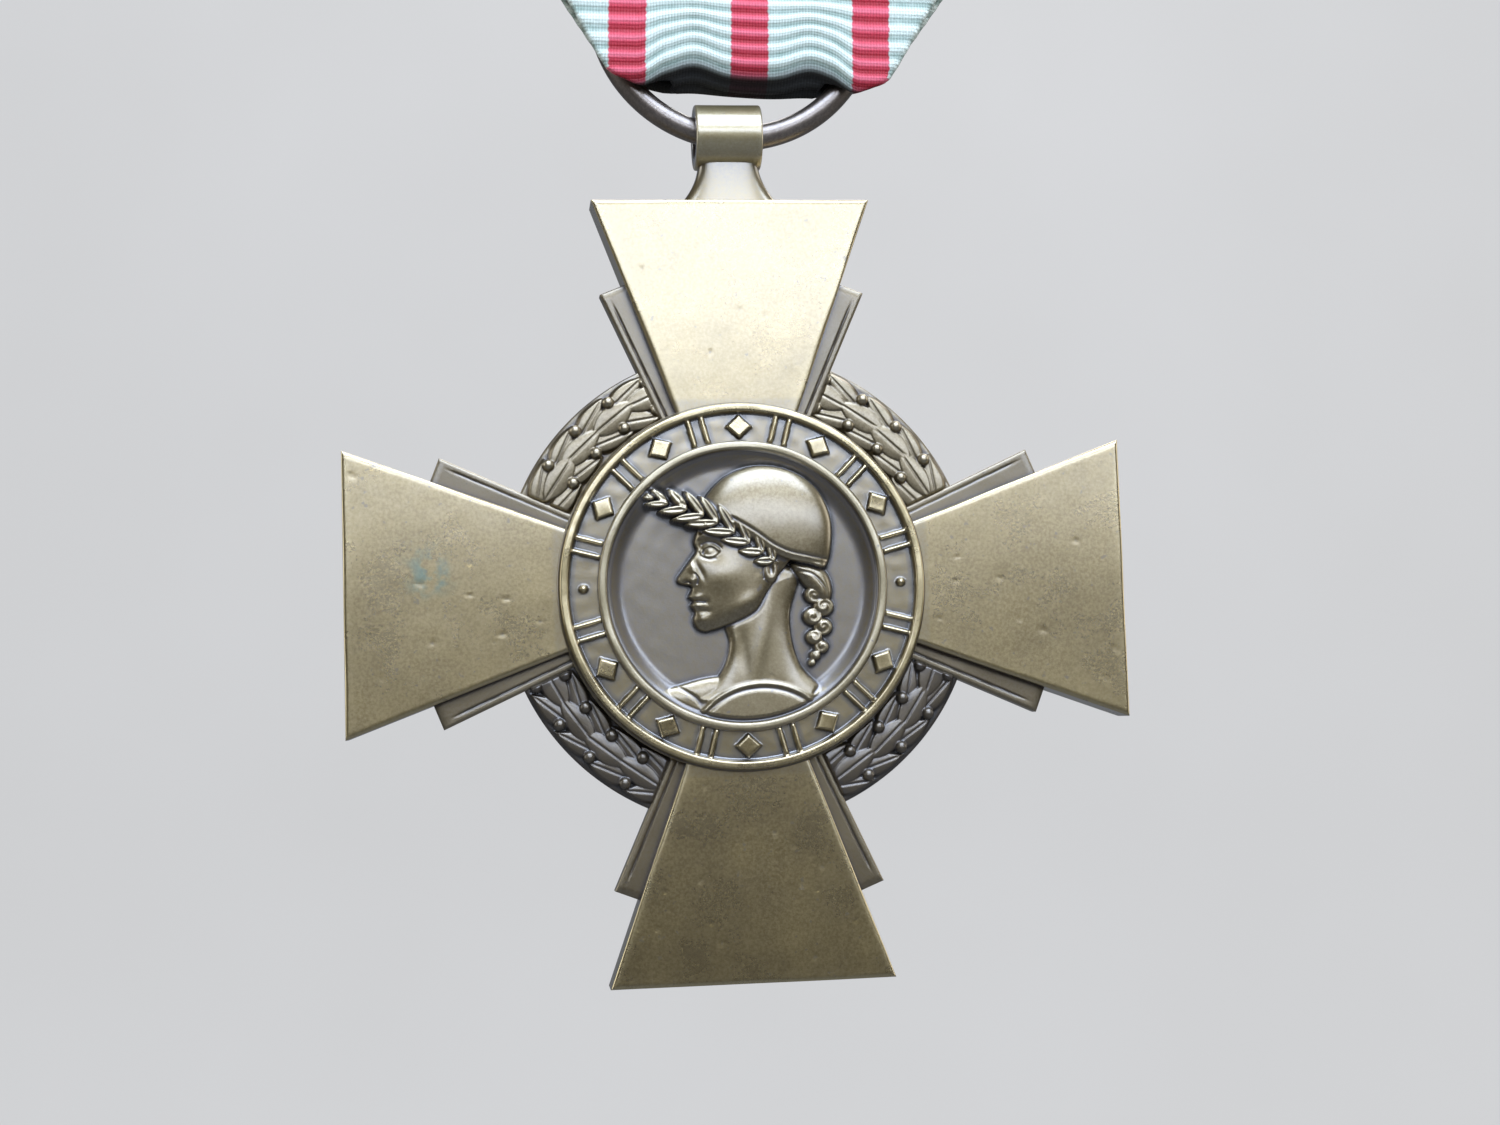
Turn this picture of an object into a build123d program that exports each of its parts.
from build123d import *

import os
from math import atan2, cos, degrees, radians, sin, sqrt, tan

os.makedirs("parts", exist_ok=True)

# A medal as it hangs when worn. X is to the right, Z up, and the front faces -Y.
# The origin is the middle of the brooch pin's shank.

# ---- driving dimensions, mm and degrees ----
MID_Y = -2.2  # the middle plane of the cross, ring and ribbon, in front of the pin

CROSS_X, CROSS_Z = -0.27, -59.0  # the cross's centre
CROSS_TILT = 1.8  # the cross hangs leaning this much to the left at its top
CROSS_SPAN = 36.0
ARM_END = 13.0  # width of an arm at its outer end
ARM_SIDE = 20.3  # lean of an arm's sides from its own axis
ARM_THICK = 2.0
RAY_SIDE = 24.3  # the rays' outer edges run out from the centre at this angle
RAY_REACH = 15.0
RAY_THICK = 0.9
HUB_R = 8.5  # the medallion
WREATH_R = 11.0
WREATH_THICK = 0.7
LEAF_RISE = 0.4
BAND_IN = 6.25
RIM = 0.55  # width of the medallion's outer rim
INNER_RIM = 0.4
BAND_RISE = 0.2
RIM_RISE = 0.3

TUBE_Z = 21.2  # the bail tube's centre above the cross's centre
TUBE_R, TUBE_BORE, TUBE_LENGTH = 1.52, 0.95, 3.1
NECK_THICK = 1.5

RING_R, WIRE_R = 6.4, 0.575
RING_X = -0.6

RIBBON_WIDTH, WEAVE = 38.0, 0.4  # the woven strip
FOLD_SIDE = 34.5  # lean of the V's edges from the vertical
FOLD_HALF = 6.3  # half width at the V's lower corners
FOLD_GAP = 0.8  # half the space between the V's front and back, round the ring
FOLD_THICK = 0.6  # the V's folded layers together
UPPER_GAP = 0.2  # the same, higher up where the two layers lie together
FLEX_Z = 44.0  # the bend line, above the cross's centre
FLEX_CLEAR = 0.6
RIBBON_TOP = 62.5

PLATE_L, PLATE_H, PLATE_THICK = 33.0, 5.6, 0.45
PLATE_BACK = 1.15  # depth of the plate's back face behind the middle plane
PIN_R = 0.45
PIVOT_X, CATCH_X, TIP_X = -13.8, 12.6, 15.4
RIVET_R, EYE_R = 0.5, 1.25

TILT = radians(CROSS_TILT)
ARM_TAN = tan(radians(ARM_SIDE))
HALF = ARM_THICK / 2


def upright(depth):
    """A plane facing the front, at a height over the middle plane, in the row's own X and Z."""
    return Plane.XZ.offset(depth - MID_Y)


def on_cross(depth):
    """The same, laid on the cross, with its centre as the origin."""
    return Plane(
        origin=(CROSS_X, MID_Y - depth, CROSS_Z),
        x_dir=(cos(TILT), 0, sin(TILT)),
        z_dir=(0, -1, 0),
    )


def height(v):
    """Row Z of a level given above the cross's centre."""
    return CROSS_Z + v


TUBE_X0 = CROSS_X - TUBE_Z * sin(TILT)
TUBE_Z0 = CROSS_Z + TUBE_Z * cos(TILT)
RING_Z = TUBE_Z0 + sqrt(RING_R**2 - (RING_X - TUBE_X0) ** 2)


def arm_half(radius):
    return ARM_END / 2 - (CROSS_SPAN / 2 - radius) * ARM_TAN


def save(builder, name):
    builder.part.label = name
    export_step(builder.part, f"parts/{name}.step")


# ---- the cross: four flared arms on a round hub ----
with BuildPart() as cross_arms:
    with BuildSketch(on_cross(-HALF)):
        with PolarLocations(0, 4):
            Polygon(
                (CROSS_SPAN / 2, -ARM_END / 2),
                (CROSS_SPAN / 2, ARM_END / 2),
                (5, arm_half(5)),
                (5, -arm_half(5)),
                align=None,
            )
        Circle(HUB_R)
    extrude(amount=ARM_THICK)
    ends = cross_arms.faces().filter_by(Axis.Y)
    chamfer(ends.edges(), 0.12)
save(cross_arms, "cross_arms")

# ---- rays: a lower bar along each side of each arm ----
ray_tip = (RAY_REACH * cos(radians(RAY_SIDE)), RAY_REACH * sin(radians(RAY_SIDE)))
ray_step = (ray_tip[1] - arm_half(ray_tip[0])) / (
    cos(radians(RAY_SIDE)) + sin(radians(RAY_SIDE)) * ARM_TAN
)
ray_in = (
    ray_tip[0] + ray_step * sin(radians(RAY_SIDE)),
    ray_tip[1] - ray_step * cos(radians(RAY_SIDE)),
)
with BuildPart() as ray_bars:
    with BuildSketch(on_cross(-RAY_THICK / 2)):
        with PolarLocations(0, 4):
            for side in (1, -1):
                Polygon(
                    (ray_tip[0], side * ray_tip[1]),
                    (ray_in[0], side * ray_in[1]),
                    (6, side * arm_half(6)),
                    (6, side * 6 * tan(radians(RAY_SIDE))),
                    align=None,
                )
        Circle(HUB_R, mode=Mode.SUBTRACT)
    extrude(amount=RAY_THICK)
save(ray_bars, "ray_bars")

# ---- wreath: four pieces of a thin disc that show between the rays ----
with BuildPart() as wreath_plate:
    with BuildSketch(on_cross(-WREATH_THICK / 2)):
        Circle(WREATH_R)
        Circle(HUB_R, mode=Mode.SUBTRACT)
        with PolarLocations(0, 4):
            Polygon(
                (0, 0),
                (20, 20 * tan(radians(RAY_SIDE))),
                (20, -20 * tan(radians(RAY_SIDE))),
                align=None,
                mode=Mode.SUBTRACT,
            )
    extrude(amount=WREATH_THICK)
save(wreath_plate, "wreath_plate")

# Laurel grows from the bottom up both sides, in threes: angles are from the cross's right.
GROUPS = (-57, -45.5, -34.5, 33, 44.5, 56)
LEAF_L, LEAF_W = 2.3, 0.8
with BuildPart() as laurel_leaves:
    with BuildSketch(on_cross(WREATH_THICK / 2)):
        for side in (1, -1):
            for angle in GROUPS:
                for radius, splay in ((9.72, 0), (10.3, -20), (9.14, 20)):
                    turn = radians(angle)
                    where = (side * radius * cos(turn), radius * sin(turn))
                    heading = angle + 90 + splay
                    with Locations(Location((*where, 0), (0, 0, heading if side > 0 else 180 - heading))):
                        Ellipse(LEAF_L / 2, LEAF_W / 2)
        Circle(HUB_R + 0.05, mode=Mode.SUBTRACT)
    extrude(amount=LEAF_RISE)
save(laurel_leaves, "laurel_leaves")

with BuildPart() as laurel_berries:
    with BuildSketch(on_cross(WREATH_THICK / 2 + LEAF_RISE)):
        for side in (1, -1):
            for angle in GROUPS:
                for radius in (9.15, 10.25):
                    turn = radians(angle - 1)
                    with Locations((side * radius * cos(turn), radius * sin(turn))):
                        Circle(0.28)
    extrude(amount=0.25)
    fillet(laurel_berries.faces().sort_by(Axis.Y)[:24].edges(), 0.15)
save(laurel_berries, "laurel_berries")

# ---- medallion: a band between two rims round a sunk field ----
with BuildPart() as medallion_band:
    with BuildSketch(on_cross(HALF)):
        Circle(HUB_R - 0.12)
        Circle(BAND_IN, mode=Mode.SUBTRACT)
    extrude(amount=BAND_RISE)
save(medallion_band, "medallion_band")

BAND_TOP = HALF + BAND_RISE
with BuildPart() as outer_rim:
    with BuildSketch(on_cross(BAND_TOP)):
        Circle(HUB_R - 0.12)
        Circle(HUB_R - RIM, mode=Mode.SUBTRACT)
    extrude(amount=RIM_RISE)
    fillet(outer_rim.faces().sort_by(Axis.Y)[0].edges(), 0.12)
save(outer_rim, "outer_rim")

with BuildPart() as inner_rim:
    with BuildSketch(on_cross(BAND_TOP)):
        Circle(BAND_IN + INNER_RIM)
        Circle(BAND_IN, mode=Mode.SUBTRACT)
    extrude(amount=RIM_RISE)
    fillet(inner_rim.faces().sort_by(Axis.Y)[0].edges(), 0.12)
save(inner_rim, "inner_rim")

# Plain raised ornament round the band: pairs of bars with a lozenge between, and a dot at each side.
BAND_MID = (HUB_R - RIM + BAND_IN + INNER_RIM) / 2
BAND_WIDE = HUB_R - RIM - BAND_IN - INNER_RIM
with BuildPart() as rim_ornament:
    with BuildSketch(on_cross(BAND_TOP)):
        for start in (15, 195):
            for step in range(11):
                with PolarLocations(BAND_MID, 1, start_angle=start + 15 * step):
                    if step % 2:
                        with Locations((0, 0, 0)):
                            Rectangle(0.72, 0.72, rotation=45)
                    else:
                        with Locations((0, -0.32), (0, 0.32)):
                            Rectangle(BAND_WIDE - 0.04, 0.26)
        with Locations((-BAND_MID, 0), (BAND_MID, 0)):
            Circle(0.2)
    extrude(amount=0.22)
save(rim_ornament, "rim_ornament")

# ---- the helmeted head in profile, facing left, in layers on the field ----
with BuildSketch() as helmet_outline:
    with BuildLine():
        Polyline((-1.55, 3.35), (-0.95, 4.6))
        ThreePointArc((-0.95, 4.6), (1.2, 5.62), (3.55, 4.3))
        ThreePointArc((3.55, 4.3), (4.2, 2.4), (3.75, 0.55))
        ThreePointArc((3.75, 0.55), (1.6, 1.35), (-1.55, 3.35))
    make_face()

with BuildSketch() as collar_outline:
    Circle(BAND_IN - 0.05)
    with Locations((0.4, 2.0)):
        Rectangle(14, 13.9, mode=Mode.SUBTRACT)
    with Locations((-5.4, -5.2), (6.2, -5.2)):
        Circle(1.6, mode=Mode.SUBTRACT)

with BuildSketch() as head_outline:
    with BuildLine():
        Spline(
            (-1.4, 3.5),
            (-2.05, 2.3),
            (-2.2, 1.55),
            (-2.85, 0.5),
            (-2.35, 0.15),
            (-2.45, -0.5),
            (-2.3, -1.35),
            (-1.55, -1.75),
            (-0.6, -1.6),
        )
        Spline((-0.6, -1.6), (-0.45, -3.0), (-1.0, -4.2), (-1.6, -4.75))
        Polyline((-1.6, -4.75), (3.1, -4.9), (2.55, -4.0), (2.2, -2.0), (3.0, 1.5), (1.0, 3.6), (-1.4, 3.5))
    make_face()
    add(helmet_outline.sketch, mode=Mode.SUBTRACT)
    add(collar_outline.sketch, mode=Mode.SUBTRACT)

with BuildPart() as portrait_helmet:
    with BuildSketch(on_cross(HALF)):
        add(helmet_outline.sketch)
    extrude(amount=0.75)
    fillet(portrait_helmet.faces().sort_by(Axis.Y)[0].edges(), 0.3)
save(portrait_helmet, "portrait_helmet")

with BuildPart() as portrait_head:
    with BuildSketch(on_cross(HALF)):
        add(head_outline.sketch)
    extrude(amount=0.5)
save(portrait_head, "portrait_head")

with BuildPart() as portrait_collar:
    with BuildSketch(on_cross(HALF)):
        add(collar_outline.sketch)
    extrude(amount=0.4)
save(portrait_collar, "portrait_collar")

with BuildPart() as portrait_hair:
    with BuildSketch(on_cross(HALF)):
        with Locations((3.35, -0.1), (3.7, -1.0), (3.45, -1.95), (3.2, -2.9)):
            Circle(0.62)
        add(head_outline.sketch, mode=Mode.SUBTRACT)
        add(helmet_outline.sketch, mode=Mode.SUBTRACT)
    extrude(amount=0.4)
save(portrait_hair, "portrait_hair")

with BuildPart() as portrait_laurel:
    with BuildSketch(on_cross(HALF)):
        for x, y, heading, length in (
            (-2.35, 3.3, 152, 2.2),
            (-3.3, 4.15, 128, 1.5),
            (-3.7, 3.45, 165, 1.9),
        ):
            with Locations(Location((x, y, 0), (0, 0, heading))):
                Ellipse(length / 2, 0.34)
        add(helmet_outline.sketch, mode=Mode.SUBTRACT)
        add(head_outline.sketch, mode=Mode.SUBTRACT)
    extrude(amount=0.5)
save(portrait_laurel, "portrait_laurel")

# ---- reverse: a rim and a plain sword on the hub's back ----
with BuildPart() as reverse_rim:
    with BuildSketch(on_cross(-HALF)):
        Circle(HUB_R - 0.12)
        Circle(HUB_R - 0.75, mode=Mode.SUBTRACT)
    extrude(amount=-0.3)
save(reverse_rim, "reverse_rim")

with BuildPart() as reverse_sword:
    with BuildSketch(on_cross(-HALF)):
        Polygon((-0.45, 2.6), (0.45, 2.6), (0.35, -5.2), (0, -6.2), (-0.35, -5.2), align=None)
        with Locations((0, 2.9)):
            RectangleRounded(3.6, 0.7, 0.3)
        with Locations((0, 4.1)):
            Rectangle(0.6, 1.9)
        with Locations((0, 5.4)):
            Circle(0.55)
    extrude(amount=-0.28)
save(reverse_sword, "reverse_sword")

# ---- bail: a flared neck and a tube across the top ----
with BuildPart() as bail_neck:
    with BuildSketch(on_cross(-NECK_THICK / 2)):
        with BuildLine():
            Line((-2.0, CROSS_SPAN / 2), (2.0, CROSS_SPAN / 2))
            ThreePointArc((2.0, 18), (1.5, 18.75), (1.35, 19.6))
            Line((1.35, 19.6), (1.35, 20.6))
            Line((1.35, 20.6), (-1.35, 20.6))
            Line((-1.35, 20.6), (-1.35, 19.6))
            ThreePointArc((-1.35, 19.6), (-1.5, 18.75), (-2.0, 18))
        make_face()
    extrude(amount=NECK_THICK)
    with Locations(Location((TUBE_X0, MID_Y, TUBE_Z0), (0, 90 - CROSS_TILT, 0))):
        Cylinder(TUBE_R, 6, mode=Mode.SUBTRACT)
save(bail_neck, "bail_neck")

with BuildPart() as bail_tube:
    with Locations(Location((TUBE_X0, MID_Y, TUBE_Z0), (0, 90 - CROSS_TILT, 0))):
        Cylinder(TUBE_R, TUBE_LENGTH)
    chamfer(bail_tube.edges().filter_by(GeomType.CIRCLE), 0.12)
    with Locations(Location((TUBE_X0, MID_Y, TUBE_Z0), (0, 90 - CROSS_TILT, 0))):
        Cylinder(TUBE_BORE, TUBE_LENGTH + 1, mode=Mode.SUBTRACT)
save(bail_tube, "bail_tube")

# ---- suspension ring ----
with BuildPart(upright(0)) as ring:
    with Locations((RING_X, RING_Z)):
        Torus(RING_R, WIRE_R)
save(ring, "ring")

# ---- ribbon: the V that is looped through the ring ----
FOLD_TOP = FLEX_Z - FLEX_CLEAR
LOOP_IN, LOOP_OUT = 23.85, 23.3
CORNER = 24.2
WIDE_AT = CORNER + (RIBBON_WIDTH / 2 - FOLD_HALF) / tan(radians(FOLD_SIDE))
with BuildPart() as ribbon_fold:
    with BuildSketch(Plane.YZ.offset(-RIBBON_WIDTH / 2)):
        for bottom, wide, middle, upper, mode in (
            (LOOP_OUT, FOLD_GAP + FOLD_THICK, 1.15, UPPER_GAP + WEAVE, Mode.ADD),
            (LOOP_IN, FOLD_GAP, 0.72, UPPER_GAP, Mode.SUBTRACT),
        ):
            with BuildLine():
                Polyline(
                    (MID_Y - wide, height(24.6)),
                    (MID_Y - wide, height(27)),
                    (MID_Y - middle, height(35.5)),
                    (MID_Y - upper, height(FOLD_TOP)),
                    (MID_Y + upper, height(FOLD_TOP)),
                    (MID_Y + middle, height(35.5)),
                    (MID_Y + wide, height(27)),
                    (MID_Y + wide, height(24.6)),
                )
                ThreePointArc(
                    (MID_Y + wide, height(24.6)), (MID_Y, height(bottom)), (MID_Y - wide, height(24.6))
                )
            make_face(mode=mode)
    extrude(amount=RIBBON_WIDTH)
    with BuildSketch(upright(3)):
        Polygon(
            (-RIBBON_WIDTH / 2, height(FOLD_TOP)),
            (-RIBBON_WIDTH / 2, height(WIDE_AT)),
            (-FOLD_HALF, height(CORNER)),
            (-FOLD_HALF + 1.3, height(LOOP_OUT - 0.05)),
            (FOLD_HALF - 1.3, height(LOOP_OUT - 0.05)),
            (FOLD_HALF, height(CORNER)),
            (RIBBON_WIDTH / 2, height(WIDE_AT)),
            (RIBBON_WIDTH / 2, height(FOLD_TOP)),
            align=None,
        )
    extrude(amount=-6, mode=Mode.INTERSECT)
    # Outside the ring's opening the front and back layers pass either side of its wire.
    with BuildSketch(upright(-FOLD_GAP)):
        with Locations((0, height(24.5))):
            Rectangle(RIBBON_WIDTH, 6)
        with Locations((RING_X, RING_Z)):
            Circle(RING_R - WIRE_R - 0.32, mode=Mode.SUBTRACT)
    extrude(amount=2 * FOLD_GAP, mode=Mode.SUBTRACT)
save(ribbon_fold, "ribbon_fold")

# ---- ribbon: the straight part, with its top turned over the brooch plate ----
START = FLEX_Z + FLEX_CLEAR
with BuildPart() as ribbon_upper:
    with BuildSketch(Plane.YZ.offset(-RIBBON_WIDTH / 2)):
        front, back = MID_Y - UPPER_GAP - WEAVE, MID_Y + PLATE_BACK + 0.1 + WEAVE
        Polygon(
            (front, height(START)),
            (front, height(RIBBON_TOP)),
            (back, height(RIBBON_TOP)),
            (back, height(RIBBON_TOP - 1.9)),
            (back - WEAVE, height(RIBBON_TOP - 1.9)),
            (back - WEAVE, height(RIBBON_TOP - WEAVE)),
            (front + WEAVE, height(RIBBON_TOP - WEAVE)),
            (front + WEAVE, height(START)),
            align=None,
        )
        Polygon(
            (MID_Y + UPPER_GAP, height(START)),
            (MID_Y + UPPER_GAP + WEAVE, height(START)),
            (MID_Y + UPPER_GAP + WEAVE, height(RIBBON_TOP - 1)),
            (MID_Y + UPPER_GAP, height(RIBBON_TOP - 1)),
            align=None,
        )
    extrude(amount=RIBBON_WIDTH)
save(ribbon_upper, "ribbon_upper")

HEM_BACK = -PLATE_BACK - 0.1 - WEAVE
with BuildPart() as hem_stitches:
    with BuildSketch(upright(HEM_BACK)):
        with Locations((0, height(RIBBON_TOP - 1.2))):
            with GridLocations(3.4, 1, 11, 1):
                RectangleRounded(1.9, 0.24, 0.1)
    extrude(amount=-0.12)
save(hem_stitches, "hem_stitches")

# ---- brooch: plate, rivet, pin and catch ----
with BuildPart() as brooch_plate:
    with BuildSketch(upright(-PLATE_BACK)):
        with Locations((0, 0)):
            RectangleRounded(PLATE_L, PLATE_H, 1.2)
    extrude(amount=PLATE_THICK)
save(brooch_plate, "brooch_plate")

with BuildPart() as pivot_rivet:
    for depth, radius, thick in (
        (PLATE_BACK, 1.15, 0.5),
        (PLATE_BACK + 0.5, RIVET_R, 1.1),
        (-MID_Y + PIN_R + 0.1, 1.0, 0.35),
    ):
        with BuildSketch(upright(-depth)):
            with Locations((PIVOT_X, 0)):
                Circle(radius)
        extrude(amount=-thick)
    fillet(pivot_rivet.faces().sort_by(Axis.Y)[-1].edges(), 0.15)
save(pivot_rivet, "pivot_rivet")

with BuildPart() as brooch_pin:
    with BuildSketch(upright(MID_Y - PIN_R)):
        with Locations((PIVOT_X, 0)):
            Circle(EYE_R)
    extrude(amount=2 * PIN_R)
    with Locations(Location(((PIVOT_X + TIP_X - 3) / 2, 0, 0), (0, 90, 0))):
        Cylinder(PIN_R, TIP_X - 3 - PIVOT_X)
    with Locations(Location((TIP_X - 1.5, 0, 0), (0, 90, 0))):
        Cone(PIN_R, 0.06, 3)
    with BuildSketch(upright(MID_Y - PIN_R - 0.5)):
        with Locations((PIVOT_X, 0)):
            Circle(RIVET_R + 0.06)
    extrude(amount=2 * PIN_R + 1, mode=Mode.SUBTRACT)
save(brooch_pin, "brooch_pin")

# The hook is open at the bottom, so that the pin drops out of it as it swings down.
with BuildPart() as catch_hook:
    with BuildSketch(Plane.YZ.offset(CATCH_X - 1.3)):
        with BuildLine():
            plate_y = MID_Y + PLATE_BACK
            Polyline(
                (plate_y, -0.9),
                (plate_y, 1.1),
                (0.5, 1.1),
            )
            ThreePointArc((0.5, 1.1), (0.93, 0.92), (1.1, 0.5))
            Polyline((1.1, 0.5), (1.1, -0.85), (0.7, -0.85), (0.7, 0.4))
            ThreePointArc((0.7, 0.4), (0.6, 0.62), (0.4, 0.7))
            Polyline((0.4, 0.7), (plate_y + 0.4, 0.7), (plate_y + 0.4, -0.9), (plate_y, -0.9))
        make_face()
    extrude(amount=2.6)
save(catch_hook, "catch_hook")
